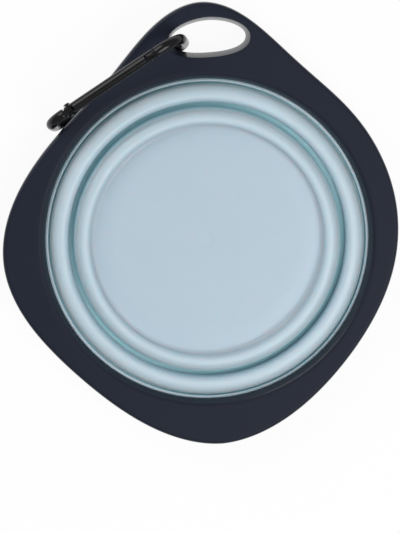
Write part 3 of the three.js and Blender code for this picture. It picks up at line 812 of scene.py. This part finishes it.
slot_half = tab_side + RUNNING_GAP
fork_bottom = GATE_SPAN - tab_top - RUNNING_GAP
gate_length = GATE_SPAN + GATE_BAR / 2 - RUNNING_GAP
end_margin = gate_length / 2 - END_MARGIN
bm = rod(GATE_BAR, gate_length)
for end, edge_radius in ((-1, GATE_NOSE_EDGE), (1, GATE_PIVOT_EDGE)):
    at_end = [edge for edge in bm.edges if all(end * vert.co.y > end_margin for vert in edge.verts)]
    soften(bm, at_end, edge_radius)
along_gate = Matrix.Rotation(-pi / 2, 4, "Z")
bmesh.ops.transform(bm, matrix=along_gate, verts=bm.verts)
bmesh.ops.translate(bm, vec=(RUNNING_GAP + gate_length / 2, 0, 0), verts=bm.verts)
bore_middle = fork_bottom - SPRING_BORE_LENGTH / 2
bm = joined(
    bm,
    ("DIFFERENCE", block((-BAR, -slot_half, -BAR), (TAB_REACH + 2 * RUNNING_GAP, slot_half, BAR)),
     Matrix.Identity(4)),
    ("DIFFERENCE", block((fork_bottom, -slot_half, -BAR), (GATE_SPAN + BAR, slot_half, BAR)),
     Matrix.Identity(4)),
    ("DIFFERENCE", rod(SPRING_BORE, SPRING_BORE_LENGTH + RUNNING_GAP),
     Matrix.Translation((bore_middle, 0, 0)) @ along_gate),
    ("DIFFERENCE", rod(latch_hole, BAR * 2), Matrix.Translation((LATCH_FROM_NOSE, 0, 0))),
    ("DIFFERENCE", rod(rivet_hole, BAR * 2), Matrix.Translation((GATE_SPAN, 0, 0))),
)
bmesh.ops.transform(bm, matrix=gate_place, verts=bm.verts)
gate = new_piece(bm, "clip_gate", black_anodised, "black_hook", "carabiner_gate")
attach(gate, "gate")

# Rivet and latch pin: the rivet that the gate turns on, headed over on both sides of the fork, and the pin
# across the gate's nose that drops into the tab's catch.
# Steel wire, cut, headed cold and blackened to match the clip.
RIVET_HEAD = 2.8
RIVET_HEAD_HEIGHT = 0.5
PIN_EDGE = 0.15
SCUFF_GRAIN = 0.25
SCUFF_DEPTH = 0.004
STEEL_BLACK = (0.055, 0.055, 0.058, 1.0)
STEEL_RUBBED = (0.12, 0.12, 0.125, 1.0)

small_steel, sockets, shade = new_material("small_steel", Metallic=1.0)
scuff = shade.noise(SCUFF_GRAIN, detail=3.0)
feed(
    sockets,
    Base_Color=scuff.mixed(STEEL_BLACK, STEEL_RUBBED),
    Roughness=0.34 + 0.2 * scuff,
    Normal=shade.bump(scuff, SCUFF_DEPTH),
)

cheek = GATE_BAR / 2 + SEAM
head = cheek + RIVET_HEAD_HEIGHT
rivet_half = rounded([
    (RIVET / 2, 0),
    (RIVET / 2, cheek),
    (RIVET_HEAD / 2, cheek, PIN_EDGE / 2),
    (RIVET_HEAD / 2, cheek + PIN_EDGE, PIN_EDGE / 2),
    (RIVET_HEAD / 4, head, RIVET_HEAD / 4),
    (0, head),
])
bm = turned(rivet_half, closed=False, steps=BAR_SIDES)
bmesh.ops.mirror(bm, geom=bm.verts[:] + bm.edges[:] + bm.faces[:], axis="Z", merge_dist=MERGE_DISTANCE)
bmesh.ops.rotate(bm, matrix=Matrix.Rotation(pi / 2, 3, "X"), verts=bm.verts)
bmesh.ops.transform(bm, matrix=gate_place @ Matrix.Translation((GATE_SPAN, 0, 0)), verts=bm.verts)
rivet = new_piece(bm, "clip_rivet", small_steel, "small_steel", "gate_rivet")
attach(rivet, "carabiner")

bm = rod(LATCH_PIN, GATE_BAR)
pin_ends = [edge for edge in bm.edges if abs(edge.verts[0].co.y - edge.verts[1].co.y) < END_MARGIN]
soften(bm, pin_ends, PIN_EDGE)
bmesh.ops.transform(bm, matrix=gate_place @ Matrix.Translation((LATCH_FROM_NOSE, 0, 0)), verts=bm.verts)
latch_pin = new_piece(bm, "clip_latch_pin", small_steel, "small_steel", "gate_latch_pin")
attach(latch_pin, "gate")

# Spring and plunger: a small coil in the gate's bore that presses a plunger on the tongue and shuts the gate.
# Steel spring wire and a turned steel pin. They are sealed in the gate, and the solids have their true shape.
for name in ("gate_spring", "gate_plunger"):
    node = frame["nodes"][name]
    node.data.materials.clear()
    node.data.materials.append(small_steel)

# Table and light: a white table under one soft lamp high at the right, one lower at the left and a pale room.
# The table shows white to the camera and in reflections, and keeps the bowl's shadow.
TABLE_SIZE = 6.0
TABLE_WHITENESS = 0.93
TABLE_COLOUR = (0.9, 0.9, 0.9, 1.0)
WHITE = (1.0, 1.0, 1.0, 1.0)
KEY_LAMP = {"place": (0.50, -0.40, 1.00), "size": 0.8, "power": 9.1}
LEFT_LAMP = {"place": (-0.72, 0.76, 0.76), "size": 0.9, "power": 7.5}
ROOM_STRENGTH = 0.31

table_white, sockets, shade = new_material("table_white", Base_Color=TABLE_COLOUR, Roughness=0.9)
tree = table_white.node_tree
ray = shade.node("ShaderNodeLightPath", output="Is Camera Ray")
for kind in ("Is Glossy Ray", "Is Transmission Ray"):
    ray = ray + shade.node("ShaderNodeLightPath", output=kind)
glow = shade.node("ShaderNodeEmission", None, {"Color": WHITE, "Strength": 1.0})
matt = Shade(tree, tree.nodes["Principled BSDF"].outputs[0])
surface = shade.node("ShaderNodeMixShader", None, {0: ray * TABLE_WHITENESS, 1: matt, 2: glow})
tree.links.new(surface.socket, tree.nodes["Material Output"].inputs["Surface"])

bm = bmesh.new()
bmesh.ops.create_grid(bm, x_segments=4, y_segments=4, size=TABLE_SIZE / 2)
bmesh.ops.translate(bm, vec=(0, 0, cad_box[0].z), verts=bm.verts)
mesh = bpy.data.meshes.new("table_top")
bm.to_mesh(mesh)
bm.free()
mesh.materials.append(table_white)
table_top = bpy.data.objects.new("table_top", mesh)
bpy.context.scene.collection.objects.link(table_top)


def soft_lamp(name, place, size, power):
    """A square lamp that faces the bowl."""
    data = bpy.data.lights.new(name, "AREA")
    data.size = size
    data.energy = power
    lamp = bpy.data.objects.new(name, data)
    lamp.location = place
    lamp.rotation_mode = "QUATERNION"
    lamp.rotation_quaternion = Vector(place).to_track_quat("Z", "Y")
    bpy.context.scene.collection.objects.link(lamp)


soft_lamp("key_lamp", **KEY_LAMP)
soft_lamp("left_lamp", **LEFT_LAMP)
scene = bpy.context.scene
scene.world = bpy.data.worlds.new("pale_room")
scene.world.use_nodes = True
room = scene.world.node_tree.nodes["Background"].inputs
room["Color"].default_value = WHITE
room["Strength"].default_value = ROOM_STRENGTH
scene.view_settings.view_transform = "Standard"

# Camera: nearly straight above, tilted towards the hanging tab, from one metre.
# Its lens and aim put the bowl at the size and place that it has in a picture of 400 by 533 pixels.
VIEW_TILT = radians(9.0)
VIEW_SIDE = radians(15.0)
VIEW_DISTANCE = 1.0
VIEW_SCALE = 0.41
VIEW_LEVEL = 3.9
IMAGE_SIZE = (400, 533)
BOWL_AXIS_PIXEL = (207.5, 240.7)
SENSOR_WIDTH = 36.0
NEAR_CLIP = 0.01

view_back = Vector((-sin(VIEW_SIDE) * sin(VIEW_TILT), cos(VIEW_SIDE) * sin(VIEW_TILT), cos(VIEW_TILT)))
eye = Vector((0, 0, VIEW_LEVEL * MM)) + view_back * VIEW_DISTANCE
view_up = (Vector((0, 1, 0)) - view_back * view_back.y).normalized()
view_right = view_up.cross(view_back)
across = (IMAGE_SIZE[0] / 2 - BOWL_AXIS_PIXEL[0]) * VIEW_SCALE * MM
down = (IMAGE_SIZE[1] / 2 - BOWL_AXIS_PIXEL[1]) * VIEW_SCALE * MM
aim = eye - view_back * VIEW_DISTANCE + view_right * across - view_up * down
view_back = (eye - aim).normalized()
view_up = (Vector((0, 1, 0)) - view_back * view_back.y).normalized()
view_right = view_up.cross(view_back)
camera_data = bpy.data.cameras.new("photo_camera")
camera_data.sensor_width = SENSOR_WIDTH
camera_data.lens = SENSOR_WIDTH * VIEW_DISTANCE / (IMAGE_SIZE[1] * VIEW_SCALE * MM)
camera_data.clip_start = NEAR_CLIP
camera = bpy.data.objects.new("photo_camera", camera_data)
turn = Matrix((view_right, view_up, view_back)).transposed()
camera.matrix_world = Matrix.Translation(eye) @ turn.to_4x4()
scene.collection.objects.link(camera)
scene.camera = camera
